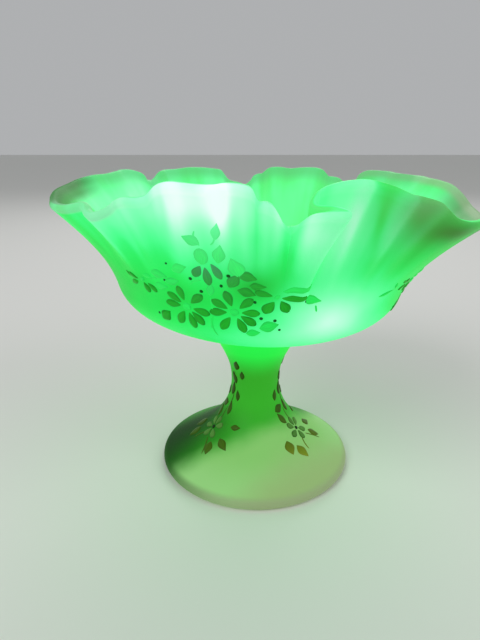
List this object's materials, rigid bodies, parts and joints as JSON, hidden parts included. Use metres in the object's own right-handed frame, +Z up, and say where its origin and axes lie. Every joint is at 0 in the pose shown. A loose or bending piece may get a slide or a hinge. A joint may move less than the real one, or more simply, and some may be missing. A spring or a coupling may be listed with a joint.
{
  "type": "footed glass dish",
  "caption": "Footed uranium glass dish with a hand-crimped ruffled rim, waisted stem and domed foot, painted with enamel daisies.",
  "frame": {"origin": "centre of the ring that the foot stands on, on the table", "axes": "+Z up along the stem, -Y to the front, where the folded ruffle and the main spray of daisies are"},
  "size_m": [0.1797, 0.1704, 0.1401],
  "materials": {
    "bowl_glass": "acid-etched satin uranium glass, glowing green under ultraviolet light, pinkish at the rim",
    "stem_glass": "acid-etched satin uranium glass, glowing green under ultraviolet light",
    "foot_glass": "acid-etched satin uranium glass, pale green, pinkish at the edge",
    "enamel_dark": "fired enamel, dark green under ultraviolet light",
    "enamel_pale": "fired enamel, thin and pale green",
    "enamel_dot": "fired enamel, near-black green dots",
    "enamel_ivory": "fired enamel, ivory petals",
    "enamel_brown": "fired enamel, dark brown flower centres",
    "enamel_olive": "fired enamel, olive and brown leaves"
  },
  "bodies": {
    "root": {"bowl": "bowl_glass", "stem": "stem_glass", "foot": "foot_glass", "front_petals": "enamel_dark", "front_centres": "enamel_pale", "front_dark_leaves": "enamel_dark", "front_pale_leaves": "enamel_pale", "front_stalks": "enamel_pale", "front_dots": "enamel_dot", "side_petals": "enamel_dark", "side_centres": "enamel_pale", "side_dark_leaves": "enamel_dark", "side_pale_leaves": "enamel_pale", "side_stalks": "enamel_pale", "side_dots": "enamel_dot", "pedestal_left_petals": "enamel_ivory", "pedestal_left_centre": "enamel_brown", "pedestal_left_leaves": "enamel_olive", "pedestal_left_stalk": "enamel_olive", "pedestal_right_petals": "enamel_ivory", "pedestal_right_centre": "enamel_brown", "pedestal_right_leaves": "enamel_olive", "pedestal_right_stalk": "enamel_olive", "pedestal_back_petals": "enamel_ivory", "pedestal_back_centre": "enamel_brown", "pedestal_back_leaves": "enamel_olive", "pedestal_back_stalk": "enamel_olive"}
  },
  "joints": []
}
